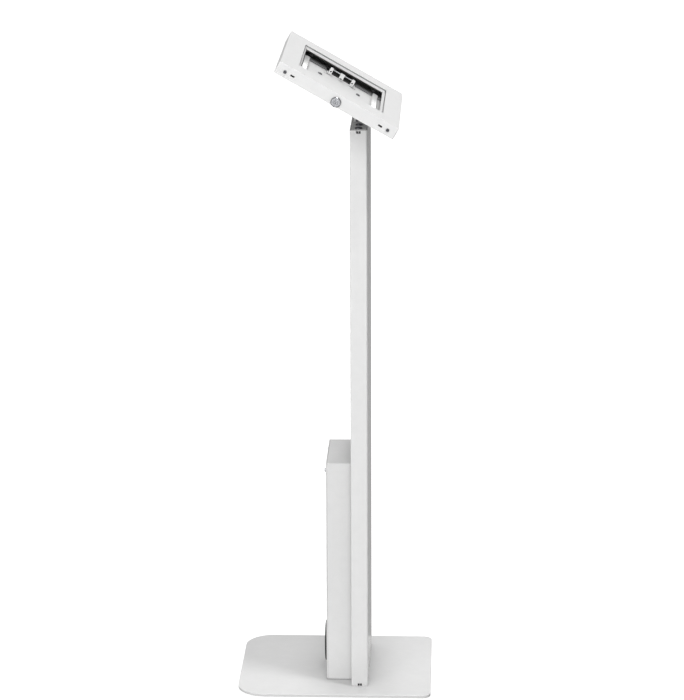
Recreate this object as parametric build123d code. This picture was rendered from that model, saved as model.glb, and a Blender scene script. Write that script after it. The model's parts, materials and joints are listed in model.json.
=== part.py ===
from build123d import *
import os
from math import radians, sin, cos

# Floor-standing customer display stand: base plate, flat column, rear cable
# box and a tilting, lockable tablet enclosure with an open window.
# Frame: +Z up, front (customer side) -Y, origin on the floor at the centre
# of the base.  Millimetres.

# ---- driving dimensions -------------------------------------------------
BASE_X, BASE_Y, BASE_T = 294.0, 342.0, 5.0
BASE_R_REAR, BASE_R_FRONT = 50.0, 15.0
FOOT_T = 2.0
ZB = FOOT_T + BASE_T                 # top face of the base plate

YC = -45.3                           # column centre plane
COL_X, COL_Y, COL_H, COL_WALL = 213.0, 30.0, 1000.0, 2.0
END_T = 4.0                          # column end plates
SLOT_FROM_END = 3.3                  # centre of the tab slots from each end

BOX_X, BOX_Y, BOX_H, BOX_WALL = 148.0, 42.6, 403.0, 1.2
BOX_Z0 = ZB
COVER_T = 2.0
COVER_GAP = 0.3

HEAD_X, HEAD_Y, HEAD_T, SHEET = 334.0, 226.5, 21.8, 1.5
WIN_X, WIN_Y = 219.8, 162.2          # window cut in the face
TILT = 29.8                          # tilt of the head as drawn
HEAD_C = (0.0, -16.9, ZB + 1070.9)   # centre of the head's face

PIVOT_Y, PIVOT_Z = YC, ZB + 1013.0   # head tilt axis (along X)

LOCK_Z = -14.0                       # lock axis, below the face, head frame
WALL_Z = -12.0                       # screws and slots in the head's walls

FIT = 0.05                           # radial running clearance

os.makedirs("parts", exist_ok=True)
NODES = {}


def head(shape):
    """Place a shape drawn in the head's own frame (face centre, +Z out of
    the face, +Y up the slope)."""
    return Location(HEAD_C, (TILT, 0, 0)) * shape


def put(name, *shapes):
    """One node from one or several separate solids."""
    solids = []
    for s in shapes:
        solids += list(s.solids())
    NODES[name] = solids[0] if len(solids) == 1 else Compound(children=solids)


def bx(x0, x1, y0, y1, z0, z1):
    """Block from its two corners."""
    return Pos((x0 + x1) / 2, (y0 + y1) / 2, (z0 + z1) / 2) * Box(
        abs(x1 - x0), abs(y1 - y0), abs(z1 - z0))


def cyl(r, x, y, z0, z1):
    """Upright cylinder."""
    return Pos(x, y, (z0 + z1) / 2) * Cylinder(r, abs(z1 - z0))


def cylx(r, x0, x1, y, z):
    """Cylinder along X."""
    return Pos((x0 + x1) / 2, y, z) * Rot(0, 90, 0) * Cylinder(r, abs(x1 - x0))


def cyly(r, y0, y1, x, z):
    """Cylinder along Y."""
    return Pos(x, (y0 + y1) / 2, z) * Rot(90, 0, 0) * Cylinder(r, abs(y1 - y0))


def hexx(af, x0, x1, y, z):
    """Hexagonal prism along X, given across flats."""
    p = extrude(RegularPolygon(af / 2, 6, major_radius=False), abs(x1 - x0))
    return Pos(min(x0, x1), y, z) * Rot(0, 90, 0) * p


def hexz(af, x, y, z0, z1):
    p = extrude(RegularPolygon(af / 2, 6, major_radius=False), abs(z1 - z0))
    return Pos(x, y, min(z0, z1)) * p


def rrect(x, y, r, h):
    """Rounded rectangular prism standing on z = 0."""
    return extrude(RectangleRounded(x, y, r), h)


def dome(r, h, edge):
    """Button head standing on z = 0."""
    b = Pos(0, 0, h / 2) * Cylinder(r, h)
    return fillet(b.edges().group_by(Axis.Z)[-1], edge)


# ---- base ---------------------------------------------------------------
hx, hy = BASE_X / 2, BASE_Y / 2
rr, rf = BASE_R_REAR, BASE_R_FRONT
k = cos(radians(45))
with BuildSketch() as sk:
    with BuildLine():
        Polyline((-hx + rf, -hy), (hx - rf, -hy))
        ThreePointArc((hx - rf, -hy), (hx - rf + rf * k, -hy + rf - rf * k),
                      (hx, -hy + rf))
        Line((hx, -hy + rf), (hx, hy - rr))
        ThreePointArc((hx, hy - rr), (hx - rr + rr * k, hy - rr + rr * k),
                      (hx - rr, hy))
        Line((hx - rr, hy), (-hx + rr, hy))
        ThreePointArc((-hx + rr, hy), (-hx + rr - rr * k, hy - rr + rr * k),
                      (-hx, hy - rr))
        Line((-hx, hy - rr), (-hx, -hy + rf))
        ThreePointArc((-hx, -hy + rf), (-hx + rf - rf * k, -hy + rf - rf * k),
                      (-hx + rf, -hy))
    make_face()
base = Pos(0, 0, FOOT_T) * extrude(sk.sketch, BASE_T)
base = fillet(base.edges().group_by(Axis.Z)[-1], 1.0)
foot_bolt_x = (-80.0, -28.0, 28.0, 80.0)
CSK_R, CSK_H = 7.9, 3.9
for x in foot_bolt_x:
    base -= cyl(4.2, x, YC, FOOT_T - 1, ZB + 1)
    base -= Pos(x, YC, FOOT_T + CSK_H / 2) * Cone(CSK_R + 0.1, 4.2, CSK_H)
put("base_plate", base)

pads = []
for x in (-120, 120):
    for y in (-148, 0, 138):
        p = cyl(12.0, x, y, 0, FOOT_T)
        pads.append(chamfer(p.edges().group_by(Axis.Z)[0], 0.5))
put("base_feet", *pads)

bolts = []
for x in foot_bolt_x:
    b = Pos(x, YC, FOOT_T + 0.15 + (CSK_H - 0.15) / 2) * Cone(
        CSK_R - 0.2, 4.0, CSK_H - 0.15)
    b += cyl(4.0, x, YC, FOOT_T + CSK_H - 0.1, ZB + 13.5)
    b -= hexz(5.0, x, YC, FOOT_T, FOOT_T + 2.8)
    bolts.append(b)
put("foot_bolts", *bolts)

# ---- column -------------------------------------------------------------
Z0, Z1 = ZB, ZB + COL_H
ix, iy = COL_X - 2 * COL_WALL, COL_Y - 2 * COL_WALL
col = Pos(0, YC, Z0) * rrect(COL_X, COL_Y, 3.2, COL_H)
col -= Pos(0, YC, Z0 - 1) * rrect(ix, iy, 1.2, COL_H + 2)
zt, zf = Z1 - SLOT_FROM_END, Z0 + SLOT_FROM_END
for z in (zt, zf):
    for s in (-1, 1):
        col -= Pos(s * COL_X / 2, YC, z) * Box(10, 7.6, END_T + 0.4)
CABLE_Z = ZB + 300.0                 # cable way from box to column
col -= cyly(12.0, YC + COL_Y / 2 - 4, YC + COL_Y / 2 + 4, 0, CABLE_Z)
box_fix = [(sx * 50.0, ZB + z) for sx in (-1, 1) for z in (62.0, 348.0)]
for x, z in box_fix:
    col -= cyly(4.55, YC + COL_Y / 2 - 4, YC + COL_Y / 2 + 4, x, z)
put("column_tube", col)


def end_plate(zc):
    p = Pos(0, YC, zc - END_T / 2) * rrect(ix - 0.1, iy - 0.1, 1.2, END_T)
    for s in (-1, 1):                # jig notch behind each side slot
        for q in (-1, 1):
            p -= Pos(s * (ix / 2 - 4.5), YC + q * 2.2, zc) * Box(10, 3.2, END_T + 1)
    return p


foot_plate = end_plate(zf)
for x in foot_bolt_x:
    foot_plate -= cyl(4.2, x, YC, Z0, Z0 + 10)
put("column_foot_plate", foot_plate)

nuts = []
for x in foot_bolt_x:
    n = hexz(13.0, x, YC, zf + END_T / 2, zf + END_T / 2 + 6.5)
    n -= cyl(4.0 + FIT, x, YC, zf, zf + 12)
    nuts.append(n)
put("foot_weld_nuts", *nuts)

HB_X = (-92.0, -62.0, 62.0, 92.0)    # screws of the hinge yoke
top_plate = end_plate(zt)
for x in HB_X:
    top_plate -= cyl(3.0 + FIT, x, YC, Z1 - 10, Z1 + 1)
top_plate -= cyl(9.0, 0, YC, Z1 - 10, Z1 + 1)
put("column_top_plate", top_plate)

# rubber bush in the cable hole of the top plate and the yoke
HB_Z = zt + END_T / 2                # top face of the top plate
HB_T = 2.0
bush = cyl(8.95, 0, YC, HB_Z - END_T, HB_Z + HB_T)
bush += cyl(11.0, 0, YC, HB_Z + HB_T, HB_Z + HB_T + 1.2)
bush += cyl(11.0, 0, YC, HB_Z - END_T - 1.2, HB_Z - END_T)
bush -= cyl(7.0, 0, YC, HB_Z - 12, HB_Z + 12)
put("top_cable_bush", bush)

# ---- hinge yoke on the column -------------------------------------------
CK0, CK1 = 26.5, 29.5                # yoke cheeks, |x|
yoke = bx(-101, 101, YC - 12.7, YC + 12.7, HB_Z, HB_Z + HB_T)
for s in (-1, 1):
    yoke += bx(s * CK0, s * CK1, YC - 10.5, YC + 10.5, HB_Z + HB_T - 0.5, PIVOT_Z)
    yoke += cylx(10.5, s * CK0, s * CK1, PIVOT_Y, PIVOT_Z)
for s in (-1, 1):
    yoke -= cylx(4.0 + FIT, s * 20, s * 40, PIVOT_Y, PIVOT_Z)
for x in HB_X:
    yoke -= cyl(3.3, x, YC, HB_Z - 1, HB_Z + HB_T + 1)
yoke -= cyl(9.0, 0, YC, HB_Z - 1, HB_Z + HB_T + 1)
STOP_Y, STOP_Z = YC + 5.0, HB_Z + 4.4
for s in (-1, 1):
    yoke -= cylx(1.25 + FIT, s * 24, s * 32, STOP_Y, STOP_Z)
put("hinge_yoke", yoke)

# small screw low on each cheek, which stops the friction washer turning
stops = []
for s in (-1, 1):
    t = cylx(1.25, s * (CK0 + 0.1), s * (CK1 + 0.5), STOP_Y, STOP_Z)
    t += cylx(2.1, s * CK1, s * (CK1 + 1.5), STOP_Y, STOP_Z)
    stops.append(t)
put("cheek_screws", *stops)

screws = []
for x in HB_X:
    s_ = Pos(x, YC, HB_Z + HB_T) * dome(6.2, 2.4, 1.4)
    s_ += cyl(3.0, x, YC, HB_Z + HB_T - 12, HB_Z + HB_T + 0.5)
    s_ -= hexz(4.0, x, YC, HB_Z + HB_T + 0.9, HB_Z + HB_T + 4)
    screws.append(s_)
put("yoke_screws", *screws)

# pivot hardware, left and right; the pair is mirrored about X = 0
HK0, HK1 = 22.5, 25.5                # cheeks of the tilt bracket, |x|
pb, pw, fw, sw, pn = [], [], [], [], []
for s in (-1, 1):
    w = cylx(8.0, s * CK1, s * (CK1 + 1.6), PIVOT_Y, PIVOT_Z)
    w -= cylx(4.2, s * 28, s * 33, PIVOT_Y, PIVOT_Z)
    pw.append(w)
    b = hexx(13.0, s * (CK1 + 1.6), s * (CK1 + 6.9), PIVOT_Y, PIVOT_Z)
    b += cylx(4.0, s * 13.0, s * (CK1 + 2.5), PIVOT_Y, PIVOT_Z)
    pb.append(b)
    f = cylx(9.5, s * (CK0 - 0.9), s * CK0, PIVOT_Y, PIVOT_Z)
    f -= cylx(4.2, s * 24, s * 28, PIVOT_Y, PIVOT_Z)
    fw.append(f)
    q = cylx(7.8, s * (HK0 - 1.6), s * (HK0 - 0.1), PIVOT_Y, PIVOT_Z)
    q -= cylx(4.2, s * 18, s * 24, PIVOT_Y, PIVOT_Z)
    sw.append(q)
    n = hexx(13.0, s * (HK0 - 8.1), s * (HK0 - 1.6), PIVOT_Y, PIVOT_Z)
    n -= cylx(4.0 + FIT, s * 10, s * 24, PIVOT_Y, PIVOT_Z)
    pn.append(n)
put("pivot_bolts", *pb)
put("pivot_washers", *pw)
put("friction_washers", *fw)
put("spring_washers", *sw)
put("pivot_nuts", *pn)

# ---- head: tray side (drawn in the head frame) --------------------------
ZF0, ZF1 = -HEAD_T, -HEAD_T + SHEET  # tray floor
# pivot in the head frame
dy, dz = PIVOT_Y - HEAD_C[1], PIVOT_Z - HEAD_C[2]
c, s0 = cos(radians(TILT)), sin(radians(TILT))
PY = dy * c + dz * s0
PZ = -dy * s0 + dz * c

TB_T = 2.5
tb = bx(-48, 48, -56, 48, ZF0 - TB_T, ZF0)
tb = fillet(tb.edges().filter_by(Axis.Z), 6)
for s in (-1, 1):
    tb += bx(s * HK0, s * HK1, PY - 10, PY + 10, PZ, ZF0 - TB_T + 0.5)
    tb += cylx(10.0, s * HK0, s * HK1, PY, PZ)
for s in (-1, 1):
    tb -= cylx(4.0 + FIT, s * 18, s * 26, PY, PZ)
VESA = 75.0
vesa = [(sx * VESA / 2, sy * VESA / 2) for sx in (-1, 1) for sy in (-1, 1)]
for x, y in vesa:
    tb -= cyl(2.0 + FIT, x, y, ZF0 - 5, ZF0 + 1)
put("tilt_bracket", head(tb))

vs = []
for x, y in vesa:
    v = Pos(x, y, ZF1) * dome(3.8, 2.0, 1.3)
    v += cyl(2.0, x, y, ZF1 - 7.5, ZF1 + 0.5)
    v -= Pos(x, y, ZF1 + 1.6) * Box(4.0, 0.9, 1.6)
    v -= Pos(x, y, ZF1 + 1.6) * Box(0.9, 4.0, 1.6)
    vs.append(head(v))
put("vesa_screws", *vs)

tx, ty = HEAD_X / 2 - SHEET - 0.5, HEAD_Y / 2 - SHEET - 0.5
tray = bx(-tx, tx, -ty, ty, ZF0, ZF1)
FL_H = 12.0
for s in (-1, 1):
    tray += bx(-tx + 6, tx - 10, s * (ty - SHEET), s * ty, ZF1 - 0.5, ZF1 + FL_H)
    tray += bx(-tx, -tx + SHEET, s * 12, s * 70, ZF1 - 0.5, ZF1 + 6.5)
tray -= bx(-tx - 1, -tx + 18, -11.0, 11.0, ZF0 - 1, ZF1 + 1)     # lock notch
HINGE_Y = (-45.0, 45.0)
for y in HINGE_Y:
    tray -= bx(tx - 1.7, tx + 1, y - 14, y + 14, ZF0 - 1, ZF1 + 1)
for x, y in vesa:
    tray -= cyl(2.25, x, y, ZF0 - 1, ZF1 + 1)
GX0, GX1, GY = 94.5, 122.0, 25.0     # cable opening in the floor
tray -= bx(GX0, GX1, -GY, GY, ZF0 - 1, ZF1 + 1)
RIV = [(139.0, 63.0), (139.0, -63.0), (-130.0, 63.0), (-130.0, -63.0)]
for x, y in RIV:
    tray -= cyl(2.05, x, y, ZF0 - 1, ZF1 + 1)
put("head_tray", head(tray))

RAIL_H, RAIL_W = 5.0, 10.0
for nm, yc in (("support_rail_upper", 68.0), ("support_rail_lower", -68.0)):
    r = bx(-108, 108, yc - RAIL_W / 2, yc + RAIL_W / 2, ZF1, ZF1 + RAIL_H)
    r = fillet(r.edges().group_by(Axis.Z)[-1].filter_by(Axis.X), 1.0)
    r -= bx(-120, 120, yc - RAIL_W / 2 + SHEET, yc + RAIL_W / 2 - SHEET,
            ZF1 - 1, ZF1 + RAIL_H - SHEET)
    put(nm, head(r))

FOAM_T = 3.0
for nm, x0, x1 in (("foam_pad_right", 101.0, 160.0), ("foam_pad_left", -145.0, -112.0)):
    f = bx(x0, x1, -104, 104, ZF1, ZF1 + FOAM_T)
    if x0 > 0:                       # cut round the rails and the cable opening
        f -= bx(x0 - 1, 109.0, 62.0, 74.0, ZF1 - 1, 0)
        f -= bx(x0 - 1, 109.0, -74.0, -62.0, ZF1 - 1, 0)
        f -= bx(x0 - 1, 126.0, -29.0, 29.0, ZF1 - 1, 0)
    for x, y in RIV:
        f -= cyl(2.3, x, y, ZF0 - 1, 0)
    put(nm, head(f))

rv = []
for x, y in RIV:
    q = Pos(x, y, ZF1 + FOAM_T + 0.1) * dome(4.0, 1.6, 1.0)
    q += cyl(2.0, x, y, ZF0 - 1.5, ZF1 + FOAM_T + 0.5)
    q += cyl(2.6, x, y, ZF0 - 2.0, ZF0)
    rv.append(head(q))
put("pad_rivets", *rv)

g = bx(GX0 + 0.1, GX1 - 0.1, -GY + 0.1, GY - 0.1, ZF0 - 1, ZF1 + 1)
g += fillet(bx(GX0 - 2.5, GX1 + 2.5, -GY - 2.5, GY + 2.5, ZF1, ZF1 + 1.4)
            .edges().filter_by(Axis.Z), 2)
g += fillet(bx(GX0 - 2.5, GX1 + 2.5, -GY - 2.5, GY + 2.5, ZF0 - 1.4, ZF0)
            .edges().filter_by(Axis.Z), 2)
g -= bx(GX0 + 5, GX1 - 5, -GY + 5, GY - 5, ZF1, ZF1 + 3)
g -= bx(GX0 + 5, GX1 - 5, -GY + 5, GY - 5, ZF0 - 3, ZF0)
g -= bx((GX0 + GX1) / 2 - 0.5, (GX0 + GX1) / 2 + 0.5, -GY + 8, GY - 8, ZF0 - 3, ZF1 + 3)
put("tray_cable_grommet", head(g))

# fold-down cable bracket at the tablet's connector side
CBX, CBZ = 75.0, ZF1 + 2.5           # its hinge line, along the slope
lugs, pins = [], []
for s in (-1, 1):
    l = bx(CBX - 4, CBX + 4, s * 25.5, s * 31, ZF1, ZF1 + 1.0)
    l += bx(CBX - 3, CBX + 3, s * 25.5, s * 27, ZF1 + 0.5, CBZ)
    l += cyly(3.0, s * 25.5, s * 27, CBX, CBZ)
    l -= cyly(1.0 + 0.03, s * 24, s * 29, CBX, CBZ)
    l -= bx(CBX - 8, CBX + 8, s * 20, s * 40, ZF1 - 4, ZF1)
    lugs.append(head(l))
    p = cyly(1.0, s * 20.5, s * 27.4, CBX, CBZ)
    pins.append(head(p))
put("bracket_lugs", *lugs)
put("bracket_pins", *pins)

ears = None
cb = []
BAR_Z = CBZ + 8.8
for s in (-1, 1):
    e = bx(CBX - 2, CBX + 2, s * 18.5, s * 24.5, CBZ, CBZ + 11.0)
    e += cyly(2.0, s * 18.5, s * 24.5, CBX, CBZ)
    e = fillet(e.edges().filter_by(Axis.X).group_by(Axis.Z)[-1], 1.5)
    e -= cylx(1.6, CBX - 5, CBX + 5, s * 21.2, CBZ + 4.2)
    e -= cyly(1.0 + FIT, s * 17, s * 26, CBX, CBZ)
    e -= cyly(0.8, s * 17, s * 23, CBX, BAR_Z)
    cb.append(head(e))
put("cable_bracket", *cb)
put("cable_bar", head(cyly(0.8, -22.9, 22.9, CBX, BAR_Z)))
cl = bx(CBX - 1.7, CBX + 3.6, -4, 4, CBZ + 0.9, CBZ + 10.4)
cl = fillet(cl.edges().filter_by(Axis.Y), 0.8)
cl -= cyly(0.8 + 0.03, -8, 8, CBX, BAR_Z)
cl -= cylx(1.6, CBX - 5, CBX + 8, 0, CBZ + 0.9)
put("cable_clamp", head(cl))

st = bx(-158, -146, 11.2, 23, ZF1, ZF1 + SHEET)
st += bx(-152.3, -148, 11.2, 12.7, ZF1 + 0.5, -8.8)
st += bx(-152.3, -148, 4.0, 12.7, -10.3, -8.8)
put("lock_strike", head(st))

# ---- cover hinges at the far side ---------------------------------------
HX, HZ = 164.0, ZF0 - 2.8            # hinge axis, along the slope
KR = 2.7
leaf_t, leaf_c, hp = [], [], []
for y in HINGE_Y:
    a = bx(148, 160, y - 12, y + 12, ZF0 - 1.2, ZF0)
    a += bx(159, HX, y - 5, y + 5, ZF0 - 1.2, ZF0 - 0.1)
    a += cyly(KR, y - 5, y + 5, HX, HZ)
    a -= cyly(1.5 + 0.03, y - 8, y + 8, HX, HZ)
    leaf_t.append(head(a))
    b = bx(HX + 0.3, HX + 1.5, y - 12.3, y + 12.3, -18.0, -8.0)
    for s in (-1, 1):
        b += bx(HX + 0.3, HX + 1.5, y + s * 5.3, y + s * 12.3, HZ, -17.5)
        b += cyly(KR, y + s * 5.3, y + s * 12.3, HX, HZ)
        b -= cyly(1.5 + 0.06, y + s * 5.0, y + s * 13, HX, HZ)
    leaf_c.append(head(b))
    p = cyly(1.5, y - 12.6, y + 12.6, HX, HZ)
    p += cyly(2.2, y + 12.6, y + 13.6, HX, HZ)
    hp.append(head(p))
put("tray_hinge_leaves", *leaf_t)
put("cover_hinge_leaves", *leaf_c)
put("cover_hinge_pins", *hp)

# ---- head: opening front frame ------------------------------------------
shell = bx(-HEAD_X / 2, HEAD_X / 2, -HEAD_Y / 2, HEAD_Y / 2, -HEAD_T, 0)
shell = fillet(shell.edges().filter_by(Axis.Z), 1.6)
shell = fillet(shell.edges().group_by(Axis.Z)[-1], 1.4)
inn = bx(-HEAD_X / 2 + SHEET, HEAD_X / 2 - SHEET, -HEAD_Y / 2 + SHEET,
         HEAD_Y / 2 - SHEET, -HEAD_T - 1, -SHEET)
shell -= inn
shell -= bx(-WIN_X / 2, WIN_X / 2, -WIN_Y / 2, WIN_Y / 2, -5, 5)
WS_Y, SL_Y = 97.7, 83.5
for sx in (-1, 1):
    for sy in (-1, 1):
        shell -= cylx(1.7, sx * (HEAD_X / 2 - 4), sx * (HEAD_X / 2 + 2), sy * WS_Y, WALL_Z)
        shell -= Pos(sx * HEAD_X / 2, sy * SL_Y, WALL_Z) * Rot(0, 90, 0) * extrude(
            SlotOverall(8.0, 3.0, rotation=90), 4, both=True)
shell -= cylx(5.6, -HEAD_X / 2 - 2, -HEAD_X / 2 + 4, 0, LOCK_Z)
put("front_shell", head(shell))

# window bezel: a sloping lip let in below the face with a gap all round, on a
# folded channel welded under the face
LIP_GAP, LIP_TOP, LIP_IN, LIP_LOW = 1.5, -2.1, 4.8, -5.0
BZ_BOT = -6.2


def frustum(x0, y0, z0, x1, y1, z1):
    return loft([Pos(0, 0, z0) * Rectangle(x0, y0), Pos(0, 0, z1) * Rectangle(x1, y1)])


def ring(o1, o0, z0, z1):
    """Rectangular ring between two offsets from the window edge."""
    r = bx(-WIN_X / 2 - o1, WIN_X / 2 + o1, -WIN_Y / 2 - o1, WIN_Y / 2 + o1, z0, z1)
    return r - bx(-WIN_X / 2 - o0, WIN_X / 2 + o0, -WIN_Y / 2 - o0, WIN_Y / 2 + o0,
                  z0 - 1, z1 + 1)


bez = bx(-WIN_X / 2 + LIP_GAP, WIN_X / 2 - LIP_GAP, -WIN_Y / 2 + LIP_GAP,
         WIN_Y / 2 - LIP_GAP, BZ_BOT, LIP_TOP)
g0, g1 = 2 * (LIP_GAP + 0.5), 2 * LIP_IN
sl = (g1 - g0) / (LIP_TOP - LIP_LOW)
bez -= frustum(WIN_X - g0 + sl, WIN_Y - g0 + sl, LIP_TOP + 1.0,
               WIN_X - g1, WIN_Y - g1, LIP_LOW)
bez -= bx(-WIN_X / 2 + LIP_IN, WIN_X / 2 - LIP_IN, -WIN_Y / 2 + LIP_IN,
          WIN_Y / 2 - LIP_IN, BZ_BOT - 1, LIP_LOW + 0.01)
bez += ring(10.0, -2.5, BZ_BOT, BZ_BOT + 1.2)
bez += ring(10.0, 8.8, BZ_BOT, -SHEET)
bez += ring(16.0, 8.8, -SHEET - 1.2, -SHEET)
put("window_bezel", head(bez))

cbk = []
for sx in (-1, 1):
    for sy in (-1, 1):
        xi = sx * (HEAD_X / 2 - SHEET)
        b = bx(xi, xi - sx * 1.5, sy * 76, sy * 104, -17.0, -SHEET)
        b += bx(xi, xi - sx * 14, sy * 76, sy * 104, -SHEET - 1.5, -SHEET)
        b -= Pos(xi, sy * SL_Y, WALL_Z) * Rot(0, 90, 0) * extrude(
            SlotOverall(9.0, 4.0, rotation=90), 4, both=True)
        b -= cylx(1.5 + FIT, xi - sx * 4, xi + sx * 1, sy * WS_Y, WALL_Z)
        cbk.append(head(b))
put("frame_brackets", *cbk)

ws = []
for sx in (-1, 1):
    for sy in (-1, 1):
        d = Pos(sx * HEAD_X / 2, sy * WS_Y, WALL_Z) * Rot(0, sx * 90, 0) * dome(2.75, 1.5, 0.9)
        d += cylx(1.5, sx * (HEAD_X / 2 + 0.5), sx * (HEAD_X / 2 - 5.5), sy * WS_Y, WALL_Z)
        d -= hexx(2.0, sx * (HEAD_X / 2 + 0.6), sx * (HEAD_X / 2 + 3), sy * WS_Y, WALL_Z)
        ws.append(head(d))
put("frame_screws", *ws)

# ---- cam lock -----------------------------------------------------------
LX = -HEAD_X / 2                     # outer face of the near wall
lb = Pos(LX, 0, LOCK_Z) * Rot(0, -90, 0) * chamfer(
    (Pos(0, 0, 1.3) * Cylinder(8.6, 2.6)).edges().group_by(Axis.Z)[-1], 1.1)
lb += cylx(5.5, LX - 0.5, LX + 14, 0, LOCK_Z)
lb -= cylx(3.6 + FIT, LX - 5, LX + 20, 0, LOCK_Z)
put("lock_body", head(lb))
ln = hexx(14.0, LX + SHEET, LX + SHEET + 3.2, 0, LOCK_Z)
ln -= cylx(5.5 + FIT, LX - 2, LX + 8, 0, LOCK_Z)
put("lock_nut", head(ln))
lp = cylx(3.6, LX - 2.8, LX + 14, 0, LOCK_Z)
lp = chamfer(lp.edges().group_by(Axis.X)[0], 0.3)
lp -= bx(LX - 4, LX + 5, -0.6, 0.6, LOCK_Z - 2.4, LOCK_Z + 2.4)
lp -= cylx(1.2, LX + 8, LX + 15, 0, LOCK_Z)
put("lock_plug", head(lp))
cam = cylx(3.2, LX + 14, LX + 16, 0, LOCK_Z)
cam += bx(LX + 14, LX + 16, -2.5, 2.5, LOCK_Z - 6.8, LOCK_Z)
cam -= cylx(1.2 + FIT, LX + 12, LX + 18, 0, LOCK_Z)
put("lock_cam", head(cam))
cs = Pos(LX + 16, 0, LOCK_Z) * Rot(0, 90, 0) * dome(2.6, 1.3, 0.8)
cs += cylx(1.2, LX + 8.5, LX + 16.5, 0, LOCK_Z)
cs -= bx(LX + 16.7, LX + 19, -2.0, 2.0, LOCK_Z - 0.3, LOCK_Z + 0.3)
put("cam_screw", head(cs))

# ---- rear cable box -----------------------------------------------------
BY0 = YC + COL_Y / 2                 # front face, against the column
BY1 = BY0 + BOX_Y                    # rear lip plane
BZ0, BZ1 = BOX_Z0, BOX_Z0 + BOX_H
bxh = BOX_X / 2
w_ = BOX_WALL
body = bx(-bxh, bxh, BY0, BY1, BZ0, BZ1)
body = fillet(body.edges().filter_by(Axis.Y), 1.6)
body -= bx(-bxh + w_, bxh - w_, BY0 + w_, BY1 - w_, BZ0 + w_, BZ1 - w_)
LIPW = 10.0
body -= bx(-bxh + LIPW, bxh - LIPW, BY1 - 3, BY1 + 1, BZ0 + 6.0, BZ1 - 22.0)
body -= cyly(12.0, BY0 - 1, BY0 + 4, 0, CABLE_Z)
for x, z in box_fix:
    body -= cyly(2.75, BY0 - 1, BY0 + 4, x, z)
CS = [(-62.0, ZB + 388.0), (62.0, ZB + 388.0)]
for x, z in CS:
    body -= cyly(2.6, BY1 - 4, BY1 + 1, x, z)
put("box_body", body)

bs, rn = [], []
for x, z in box_fix:
    h = Pos(x, BY0 + w_, z) * Rot(-90, 0, 0) * dome(4.75, 2.6, 1.4)
    h += cyly(2.5, BY0 + w_ + 0.5, BY0 - 11, x, z)
    h -= Pos(x, BY0 + w_ + 1.2, z) * Rot(-90, 0, 0) * extrude(
        RegularPolygon(1.5, 6, major_radius=False), 3)
    bs.append(h)
    r = cyly(4.5, BY0 - 10.0, BY0 - 0.0, x, z)
    r += cyly(6.0, BY0 - COL_WALL - 2.0, BY0 - COL_WALL, x, z)
    r -= cyly(2.5 + FIT, BY0 - 12, BY0 + 2, x, z)
    rn.append(r)
put("box_screws", *bs)
put("column_rivet_nuts", *rn)

cg = cyly(11.95, BY0 - COL_WALL, BY0 + w_, 0, CABLE_Z)
cg += cyly(14.5, BY0 + w_, BY0 + w_ + 1.6, 0, CABLE_Z)
cg += cyly(14.5, BY0 - COL_WALL - 1.6, BY0 - COL_WALL, 0, CABLE_Z)
cg -= cyly(8.5, BY0 - 8, BY0 + 8, 0, CABLE_Z)
put("column_cable_bush", cg)

# clip nuts on the upper lip
cn = []
for x, z in CS:
    sx = 1 if x > 0 else -1
    n = bx(x - 6, x + 6, BY1 - w_ - 1.2, BY1 - w_, z - 6, z + 6)
    n += cyly(4.0, BY1 - w_ - 4.0, BY1 - w_ - 1.0, x, z)
    n -= cyly(2.6, BY1 - 8, BY1 + 1, x, z)
    cn.append(n)
put("clip_nuts", *cn)

# cover with two bottom tabs
CY0 = BY1 + COVER_GAP
CY1 = CY0 + COVER_T
cov = bx(-bxh, bxh, CY0, CY1, BZ0 + 1.0, BZ1)
cov = fillet(cov.edges().filter_by(Axis.Y), 1.6)
cov = fillet(cov.edges().group_by(Axis.Y)[-1], 0.9)
for x in (-47.0, 47.0):
    cov += bx(x - 8, x + 8, CY0 - 5.3, CY0 + 0.5, BZ0 + 9.0, BZ0 + 10.2)
    cov += bx(x - 8, x + 8, CY0 - 5.3, CY0 - 4.1, BZ0 + 3.0, BZ0 + 10.2)
for x, z in CS:
    cov -= cyly(2.15, CY0 - 1, CY1 + 1, x, z)
GR_Z = ZB + 47.0                     # round cable grommet in the cover
GR_R = 37.5
cov -= cyly(30.0, CY0 - 1, CY1 + 1, 0, GR_Z)
put("box_cover", cov)

sc = []
for x, z in CS:
    h = Pos(x, CY1, z) * Rot(-90, 0, 0) * dome(4.0, 2.5, 1.3)
    h += cyly(2.0, CY0 - 5.0, CY1 + 0.5, x, z)
    h -= Pos(x, CY1 + 2.2, z) * Box(4.4, 1.6, 0.9)
    h -= Pos(x, CY1 + 2.2, z) * Box(0.9, 1.6, 4.4)
    sc.append(h)
put("cover_screws", *sc)

rg = Pos(0, CY1, GR_Z) * Rot(-90, 0, 0) * fillet(
    (Pos(0, 0, 2.5) * Cylinder(GR_R, 5.0)).edges().group_by(Axis.Z)[-1], 4.0)
rg += cyly(29.9, CY0 - 10, CY1 + 0.5, 0, GR_Z)
rg -= cyly(26.0, CY0 - 12, CY1 + 8, 0, GR_Z)
rg += cyly(26.2, CY0 - 10, CY0 - 8.5, 0, GR_Z) - cyly(23.5, CY0 - 12, CY0, 0, GR_Z)
put("grommet_ring", rg)
cap = Pos(0, CY1 - 1, GR_Z) * Rot(-90, 0, 0) * fillet(
    (Pos(0, 0, 2.5) * Cylinder(25.7, 5.0)).edges().group_by(Axis.Z)[-1], 1.2)
cap += cyly(25.7, CY0 - 8.3, CY1, 0, GR_Z)
cap -= cyly(23.9, CY0 - 10, CY1 + 1.5, 0, GR_Z)
cap -= bx(-8, 8, CY0 - 12, CY1 + 8, GR_Z - 30, GR_Z - 14)
cap -= cyly(8.0, CY0 - 12, CY1 + 8, 0, GR_Z - 14)
put("grommet_cap", cap)

for name, shape in NODES.items():
    shape.label = name
    export_step(shape, f"parts/{name}.step")
print(len(NODES), "nodes written")
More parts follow.
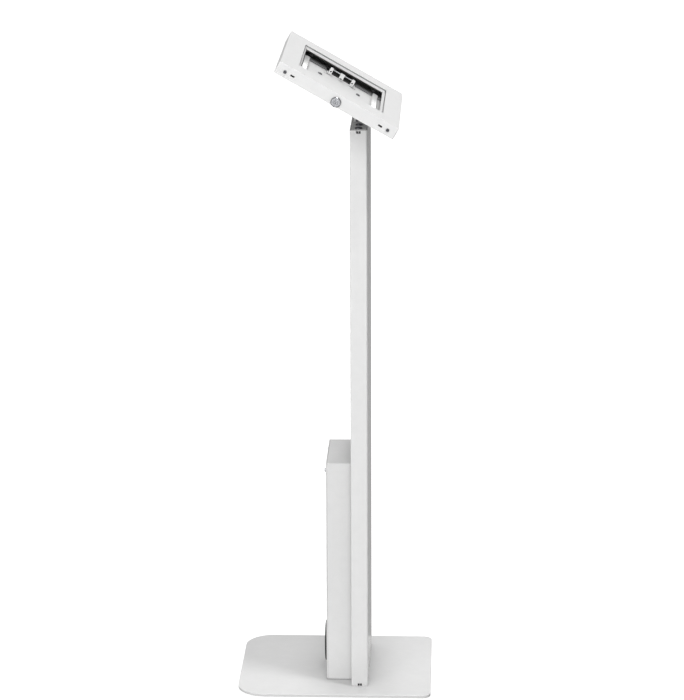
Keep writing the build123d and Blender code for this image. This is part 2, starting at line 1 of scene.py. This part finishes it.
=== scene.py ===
import bpy, bmesh, json, math
from mathutils import Vector, Matrix, noise


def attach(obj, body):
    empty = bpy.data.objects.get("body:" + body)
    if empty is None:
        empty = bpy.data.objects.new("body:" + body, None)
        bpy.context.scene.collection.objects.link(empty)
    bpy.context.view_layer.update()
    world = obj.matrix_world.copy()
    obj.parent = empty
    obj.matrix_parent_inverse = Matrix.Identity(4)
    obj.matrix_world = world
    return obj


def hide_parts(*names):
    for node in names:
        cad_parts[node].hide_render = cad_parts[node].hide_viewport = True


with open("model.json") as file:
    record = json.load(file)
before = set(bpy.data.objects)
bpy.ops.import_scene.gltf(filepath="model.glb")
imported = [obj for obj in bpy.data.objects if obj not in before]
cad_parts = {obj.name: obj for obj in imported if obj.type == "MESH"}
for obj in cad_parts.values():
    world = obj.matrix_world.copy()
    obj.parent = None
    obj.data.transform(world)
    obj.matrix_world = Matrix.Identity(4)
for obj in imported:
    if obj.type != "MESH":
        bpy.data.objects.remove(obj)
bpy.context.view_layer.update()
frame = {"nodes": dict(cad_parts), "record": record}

D = bpy.data
SC = bpy.context.scene

# ------------------------------------------------------------------ camera
# The stand is seen from its left side, from slightly in front and above.
CAM_POS = Vector((-4.8282, -0.2057, 1.8963))
YAW, PITCH, ROLL = math.radians(-2.298), math.radians(15.064), math.radians(-0.237)
right = Vector((-math.sin(YAW), -math.cos(YAW), 0.0))
fwd = Vector((math.cos(YAW) * math.cos(PITCH), -math.sin(YAW) * math.cos(PITCH), -math.sin(PITCH)))
up = right.cross(fwd)
r2 = right * math.cos(ROLL) + up * math.sin(ROLL)
u2 = -right * math.sin(ROLL) + up * math.cos(ROLL)
cam_d = D.cameras.new("camera")
cam_d.sensor_fit = "AUTO"
cam_d.sensor_width = 36.0
cam_d.lens = 2850.0 * 36.0 / 700.0
cam_d.clip_end = 100.0
cam = D.objects.new("camera", cam_d)
SC.collection.objects.link(cam)
m = Matrix((r2, u2, -fwd)).transposed().to_4x4()
m.translation = CAM_POS
cam.matrix_world = m
SC.camera = cam

# ------------------------------------------------------------------ light
SC.view_settings.view_transform = "Standard"
SC.view_settings.look = "None"
world = D.worlds.new("studio")
world.use_nodes = True
world.node_tree.nodes["Background"].inputs["Color"].default_value = (1.0, 1.0, 1.0, 1.0)
world.node_tree.nodes["Background"].inputs["Strength"].default_value = 0.27
SC.world = world


def area(name, pos, target, sx, sy, power):
    l = D.lights.new(name, "AREA")
    l.shape = "RECTANGLE"
    l.size, l.size_y = sx, sy
    l.energy = power
    o = D.objects.new(name, l)
    SC.collection.objects.link(o)
    d = Vector(target) - Vector(pos)
    o.matrix_world = Matrix.Translation(pos) @ d.to_track_quat("-Z", "Y").to_matrix().to_4x4()
    return o


def polar(az, el, dist, c):
    """A place seen from c: az 0 is the camera's side, 90 the front."""
    a, e = math.radians(az), math.radians(el)
    return (c[0] - dist * math.cos(a) * math.cos(e), c[1] - dist * math.sin(a) * math.cos(e), c[2] + dist * math.sin(e))


MID = (0.0, 0.0, 0.6)
area("key_low", polar(0, 8, 7.0, MID), MID, 2.8, 2.8, 95.0)
area("key_side", polar(-35, 8, 7.0, MID), MID, 2.8, 2.8, 180.0)
area("key_high", polar(0, 48, 7.0, MID), MID, 2.8, 2.8, 122.0)
area("rim", polar(-135, 48, 7.0, MID), MID, 2.8, 2.8, 28.0)
area("back", polar(180, 48, 7.0, MID), MID, 2.8, 2.8, 140.0)
area("front", polar(62, 68, 7.0, MID), MID, 0.9, 0.9, 140.0)


def card(name, c, half_y, half_z, glow):
    """White backdrop beyond the stand, seen only in glossy reflections."""
    me = D.meshes.new(name)
    x, y, z = c
    me.from_pydata([(x, y - half_y, z - half_z), (x, y + half_y, z - half_z),
                    (x, y + half_y, z + half_z), (x, y - half_y, z + half_z)], [], [(0, 1, 2, 3)])
    o = D.objects.new(name, me)
    SC.collection.objects.link(o)
    mt = D.materials.new(name)
    mt.use_nodes = True
    b = mt.node_tree.nodes["Principled BSDF"]
    b.inputs["Base Color"].default_value = (0.1, 0.1, 0.1, 1)
    b.inputs["Emission Color"].default_value = (1, 1, 1, 1)
    b.inputs["Emission Strength"].default_value = glow
    me.materials.append(mt)
    o.visible_camera = False
    o.visible_diffuse = False
    o.visible_transmission = False
    o.visible_shadow = False


card("studio_backdrop", (9.0, -2.1, 2.3), 1.6, 1.3, 2.3)


def floor_plane(name, z, glow, seen):
    """The pale studio floor; the upper sheet is what the camera sees, the
    lower one gives the light it throws back."""
    me = D.meshes.new(name)
    me.from_pydata([(-30, -30, 0), (60, -30, 0), (60, 30, 0), (-30, 30, 0)], [], [(0, 1, 2, 3)])
    o = D.objects.new(name, me)
    o.location.z = z
    SC.collection.objects.link(o)
    mt = D.materials.new(name)
    mt.use_nodes = True
    nt = mt.node_tree
    b = nt.nodes["Principled BSDF"]
    sp = nt.nodes.new("ShaderNodeTexNoise")
    sp.inputs["Scale"].default_value = 1.3
    rp = nt.nodes.new("ShaderNodeValToRGB")
    rp.color_ramp.elements[0].color = (0.40, 0.40, 0.40, 1)
    rp.color_ramp.elements[1].color = (0.44, 0.44, 0.44, 1)
    nt.links.new(sp.outputs["Fac"], rp.inputs["Fac"])
    nt.links.new(rp.outputs["Color"], b.inputs["Base Color"])
    b.inputs["Roughness"].default_value = 0.9
    b.inputs["Specular IOR Level"].default_value = 0.0
    b.inputs["Emission Color"].default_value = (1, 1, 1, 1)
    b.inputs["Emission Strength"].default_value = glow
    me.materials.append(mt)
    o.visible_camera = seen
    o.visible_diffuse = not seen
    o.visible_glossy = not seen
    o.visible_transmission = not seen
    o.visible_shadow = not seen


floor_plane("studio_floor", -0.0002, 0.98, True)
floor_plane("studio_floor_light", -0.0004, 0.0, False)


# ------------------------------------------------------------------ materials
class NT:
    """A small helper to write node trees."""

    def __init__(self, name):
        self.m = D.materials.new(name)
        self.m.use_nodes = True
        self.t = self.m.node_tree
        self.b = self.t.nodes["Principled BSDF"]
        self.co = self.n("ShaderNodeTexCoord").outputs["Object"]

    def n(self, kind, **kw):
        nd = self.t.nodes.new(kind)
        for k, v in kw.items():
            setattr(nd, k, v)
        return nd

    def link(self, a, b):
        self.t.links.new(a, b)

    def noise(self, scale, detail=3.0, rough=0.5, stretch=None):
        nd = self.n("ShaderNodeTexNoise")
        nd.inputs["Scale"].default_value = scale
        nd.inputs["Detail"].default_value = detail
        nd.inputs["Roughness"].default_value = rough
        if stretch:
            mp = self.n("ShaderNodeMapping")
            mp.inputs["Scale"].default_value = stretch
            self.link(self.co, mp.inputs["Vector"])
            self.link(mp.outputs["Vector"], nd.inputs["Vector"])
        else:
            self.link(self.co, nd.inputs["Vector"])
        return nd.outputs["Fac"]

    def voronoi(self, scale, feature="F1", out="Distance"):
        nd = self.n("ShaderNodeTexVoronoi", feature=feature)
        nd.inputs["Scale"].default_value = scale
        self.link(self.co, nd.inputs["Vector"])
        return nd.outputs[out]

    def ramp(self, fac, stops):
        nd = self.n("ShaderNodeValToRGB")
        cr = nd.color_ramp
        while len(cr.elements) < len(stops):
            cr.elements.new(0.5)
        for e, (p, c) in zip(cr.elements, stops):
            e.position = p
            e.color = (c[0], c[1], c[2], 1.0) if isinstance(c, tuple) else (c, c, c, 1.0)
        self.link(fac, nd.inputs["Fac"])
        return nd.outputs["Color"]

    def rng(self, fac, a, b, c, d):
        nd = self.n("ShaderNodeMapRange")
        nd.inputs["From Min"].default_value = a
        nd.inputs["From Max"].default_value = b
        nd.inputs["To Min"].default_value = c
        nd.inputs["To Max"].default_value = d
        self.link(fac, nd.inputs["Value"])
        return nd.outputs["Result"]

    def math(self, op, a, b):
        nd = self.n("ShaderNodeMath", operation=op)
        for i, v in enumerate((a, b)):
            if isinstance(v, (int, float)):
                nd.inputs[i].default_value = v
            else:
                self.link(v, nd.inputs[i])
        return nd.outputs[0]

    def mix(self, fac, a, b, blend="MIX"):
        nd = self.n("ShaderNodeMix", data_type="RGBA", blend_type=blend)
        for i, v in ((0, fac), (6, a), (7, b)):
            if isinstance(v, (int, float)):
                nd.inputs[i].default_value = v
            elif isinstance(v, tuple):
                nd.inputs[i].default_value = (v[0], v[1], v[2], 1.0)
            else:
                self.link(v, nd.inputs[i])
        return nd.outputs[2]

    def bump(self, h, dist, strength=1.0, normal=None):
        nd = self.n("ShaderNodeBump")
        nd.inputs["Strength"].default_value = strength
        nd.inputs["Distance"].default_value = dist
        self.link(h, nd.inputs["Height"])
        if normal is not None:
            self.link(normal, nd.inputs["Normal"])
        return nd.outputs["Normal"]

    def set(self, **kw):
        for k, v in kw.items():
            k = k.replace("_", " ")
            if isinstance(v, (int, float)):
                self.b.inputs[k].default_value = v
            elif isinstance(v, tuple):
                self.b.inputs[k].default_value = (v[0], v[1], v[2], 1.0)
            else:
                self.link(v, self.b.inputs[k])


def powder_coat(name, painted_shade_depth=0.85, painted_shade_extent=0.08, rough=0.45, painted_crease_shade_min=0.60, spec=0.10):
    """White powder coat on sheet steel: fine orange peel, faint waviness.
    The base colour carries painted shade from two ambient-occlusion lookups: the second argument sets how dark corners
    and gaps get, the third how far from them that painted shade extends."""
    t = NT(name)
    peel = t.noise(900.0, 2.0, 0.55)
    fine = t.noise(2600.0, 1.0, 0.5)
    wave = t.noise(9.0, 2.0, 0.5)
    dust = t.noise(55.0, 5.0, 0.65)
    col = t.ramp(dust, [(0.30, (0.772, 0.772, 0.770)), (0.70, (0.800, 0.800, 0.798))])
    # Painted shade: a wide and a 5 mm ambient-occlusion lookup darken the colour in corners, creases and gaps between
    # parts.
    far = t.n("ShaderNodeAmbientOcclusion")
    far.samples = 8
    far.inputs["Distance"].default_value = painted_shade_extent
    near = t.n("ShaderNodeAmbientOcclusion")
    near.samples = 6
    near.inputs["Distance"].default_value = 0.005
    shade = t.math("MULTIPLY", t.rng(far.outputs["AO"], 0.0, 1.0, 1.0 - painted_shade_depth, 1.0),
                   t.rng(near.outputs["AO"], 0.1, 0.9, painted_crease_shade_min, 1.0))
    # The painted shade multiplies the base colour.
    col = t.mix(1.0, col, t.ramp(shade, [(0.0, 0.0), (1.0, 1.0)]), "MULTIPLY")
    t.set(Base_Color=col, Roughness=t.rng(dust, 0.25, 0.75, rough - 0.05, rough + 0.05))
    n = t.bump(wave, 0.0012, 0.35)
    n = t.bump(peel, 0.00010, 0.55, n)
    n = t.bump(fine, 0.00003, 0.4, n)
    t.link(n, t.b.inputs["Normal"])
    t.b.inputs["Specular IOR Level"].default_value = spec
    return t.m


def plated(name, base, rough, tint=0.06, turned=False):
    """Plated steel with fine handling marks."""
    t = NT(name)
    a = t.noise(160.0, 4.0, 0.6)
    s = t.noise(60.0, 3.0, 0.6, stretch=(30.0, 30.0, 2.0))
    f = t.mix(0.5, a, s)
    lo = tuple(max(0.0, c * (1 - tint * 2)) for c in base)
    hi = tuple(min(1.0, c * (1 + tint)) for c in base)
    t.set(Base_Color=t.ramp(f, [(0.35, lo), (0.65, hi)]), Metallic=1.0,
          Roughness=t.rng(f, 0.3, 0.7, rough - 0.06, rough + 0.08))
    t.link(t.bump(s, 0.00004, 0.5), t.b.inputs["Normal"])
    return t.m


def rubber(name="black_rubber", base=0.028):
    t = NT(name)
    a = t.noise(1400.0, 2.0, 0.6)
    b = t.noise(40.0, 4.0, 0.6)
    t.set(Base_Color=t.ramp(b, [(0.3, base * 0.8), (0.75, base * 1.5)]),
          Roughness=t.rng(b, 0.3, 0.7, 0.62, 0.78))
    t.link(t.bump(a, 0.00006, 0.5), t.b.inputs["Normal"])
    return t.m


def plastic(name, lo, hi, rough, grain=1100.0):
    """Moulded plastic with a fine spark-eroded grain."""
    t = NT(name)
    g = t.voronoi(grain)
    b = t.noise(70.0, 4.0, 0.6)
    t.set(Base_Color=t.ramp(b, [(0.3, lo), (0.7, hi)]), Roughness=t.rng(b, 0.3, 0.7, rough - 0.05, rough + 0.07))
    t.link(t.bump(g, 0.00005, 0.5), t.b.inputs["Normal"])
    return t.m


def foam():
    """Closed-cell EVA foam: small open cells on the cut face; its near-black colour also paints the deep shade under
    the face border.
    """
    t = NT("black_eva_foam_and_painted_shade")
    c = t.voronoi(950.0, "DISTANCE_TO_EDGE")
    c2 = t.voronoi(2300.0)
    b = t.noise(30.0, 4.0, 0.6)
    cell = t.rng(c, 0.0, 0.16, 0.0, 1.0)
    col = t.mix(cell, (0.22, 0.22, 0.225), t.ramp(b, [(0.3, 0.15), (0.7, 0.20)]))
    t.set(Base_Color=col, Roughness=0.93)
    t.b.inputs["Specular IOR Level"].default_value = 0.2
    n = t.bump(t.math("SUBTRACT", 1.0, cell), 0.00018, 0.6)
    t.link(t.bump(c2, 0.00006, 0.4, n), t.b.inputs["Normal"])
    return t.m


# Second number: strength of the painted corner shade; third: how far it extends; the crease value sets the painted
# shade within 5 mm.
WHITE = powder_coat("white_powder_coat", 0.45, spec=0.03)
WHITE_TRAY = powder_coat("white_powder_coat_tray", 0.45, 0.022, spec=0.03)
WHITE_BOX = powder_coat("white_powder_coat_box", 0.32)
WHITE_BASE = powder_coat("white_powder_coat_base", 0.30, painted_crease_shade_min=0.97)
WHITE_COLUMN = powder_coat("white_powder_coat_column", 0.45, rough=0.16, spec=0.5)
WHITE_BEZEL = powder_coat("white_powder_coat_bezel", 0.10, 0.003)
MATS = {
    "white_steel": WHITE,
    "dark_zinc": plated("black_zinc", (0.10, 0.10, 0.11), 0.38, 0.15),
    "zinc": plated("bright_zinc", (0.62, 0.63, 0.65), 0.30, 0.05),
    "chrome": plated("satin_chrome", (0.33, 0.335, 0.35), 0.26, 0.05),
    "black_rubber": rubber(),
    "black_foam": foam(),
    "black_plastic": plastic("black_plastic", (0.016, 0.016, 0.017), (0.026, 0.026, 0.028), 0.58),
    "grey_plastic": plastic("grey_plastic", (0.30, 0.30, 0.31), (0.37, 0.37, 0.38), 0.45),
    "white_plastic": plastic("white_plastic", (0.93, 0.93, 0.928), (0.96, 0.96, 0.958), 0.12),
}
OWN = {"vesa_screws": plated("grey_zinc", (0.20, 0.20, 0.21), 0.42, 0.10), "box_body": WHITE_BOX, "box_cover": WHITE_BOX, "base_plate": WHITE_BASE, "column_tube": WHITE_COLUMN, "head_tray": WHITE_TRAY, "tilt_bracket": WHITE_TRAY, "bracket_lugs": WHITE_TRAY, "window_bezel": WHITE_BEZEL}
SLOT = {s["node"]: s["material_slot"] for s in frame["record"]["subparts"]}
for name, obj in frame["nodes"].items():
    if not obj.material_slots:
        obj.data.materials.append(None)
    for ms in obj.material_slots:
        ms.material = OWN.get(name, MATS[SLOT[name]])

# ------------------------------------------------------------------ head frame
TILT = math.radians(29.8)
HEAD_C = Vector((0.0, -0.0169, 1.0779))
HEAD = Matrix.Translation(HEAD_C) @ Matrix.Rotation(TILT, 4, "X")
ZF1 = -0.0203


def new_piece(name, bm, mat, body, smooth=True, xf=None):
    me = D.meshes.new(name)
    if xf is not None:
        bm.transform(xf)
    bmesh.ops.recalc_face_normals(bm, faces=bm.faces[:])
    bm.to_mesh(me)
    bm.free()
    o = D.objects.new(name, me)
    SC.collection.objects.link(o)
    me.materials.append(mat)
    if smooth:
        for p in me.polygons:
            p.use_smooth = True
    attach(o, body)
    return o


def foam_pad(name, x0, x1, hy, t, dents, cuts, seed):
    """A die-cut foam pad: crowned, with softly rounded edges, a dent under
    each rivet head and the cut-outs of the flat pad."""
    bm = bmesh.new()
    st = 0.0015
    nx, ny = int(round((x1 - x0) / st)), int(round(2 * hy / st))
    xs = [x0 + (x1 - x0) * i / nx for i in range(nx + 1)]
    ys = [-hy + 2 * hy * j / ny for j in range(ny + 1)]
    for c in cuts:                       # put grid lines on the cut edges
        for v, arr in ((c[1], xs), (c[2], ys), (c[3], ys)):
            k = min(range(len(arr)), key=lambda q: abs(arr[q] - v))
            arr[k] = v

    def solid(i, j):
        x, y = (xs[i] + xs[i + 1]) / 2, (ys[j] + ys[j + 1]) / 2
        return not any(c[0] < x < c[1] and c[2] < y < c[3] for c in cuts)

    def edge_dist(x, y):
        e = min(x - x0, x1 - x, y + hy, hy - y)
        for c in cuts:
            dx = max(c[0] - x, x - c[1], 0.0)
            dy = max(c[2] - y, y - c[3], 0.0)
            e = min(e, math.hypot(dx, dy))
        return max(e, 0.0)

    top, bot = {}, {}

    def vt(i, j):
        if (i, j) not in top:
            x, y = xs[i], ys[j]
            z = t - 0.0011 * math.exp(-edge_dist(x, y) / 0.0012)
            z -= 0.00020 * (1 + noise.noise(Vector((x * 60, y * 60, seed))))
            for dx, dy in dents:
                z -= 0.0006 * math.exp(-(math.hypot(x - dx, y - dy) / 0.0055) ** 2)
            top[i, j] = bm.verts.new((x, y, ZF1 + z))
        return top[i, j]

    def vb(i, j):
        if (i, j) not in bot:
            bot[i, j] = bm.verts.new((xs[i], ys[j], ZF1 + 0.00005))
        return bot[i, j]

    for i in range(nx):
        for j in range(ny):
            if not solid(i, j):
                continue
            bm.faces.new((vt(i, j), vt(i + 1, j), vt(i + 1, j + 1), vt(i, j + 1)))
            bm.faces.new((vb(i, j), vb(i, j + 1), vb(i + 1, j + 1), vb(i + 1, j)))
            for di, dj, p, q in ((-1, 0, (i, j), (i, j + 1)), (1, 0, (i + 1, j), (i + 1, j + 1)),
                                 (0, -1, (i, j), (i + 1, j)), (0, 1, (i, j + 1), (i + 1, j + 1))):
                a_, b_ = i + di, j + dj
                if 0 <= a_ < nx and 0 <= b_ < ny and solid(a_, b_):
                    continue
                bm.faces.new((vt(*p), vt(*q), vb(*q), vb(*p)))
    o = new_piece(name, bm, MATS["black_foam"], "head", xf=HEAD)
    return o


# The black foam pads lie under the face border; their dark colour is partly the foam's own and partly painted shade of
# that border.
fr = foam_pad("foam_right", 0.101, 0.160, 0.104, 0.003, [(0.139, 0.063), (0.139, -0.063)],
              [(0.100, 0.109, 0.062, 0.074), (0.100, 0.109, -0.074, -0.062), (0.100, 0.126, -0.029, 0.029)], 3.1)
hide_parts("foam_pad_right")
fl = foam_pad("foam_left", -0.145, -0.112, 0.104, 0.003, [(-0.130, 0.063), (-0.130, -0.063)], [], 7.7)
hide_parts("foam_pad_left")
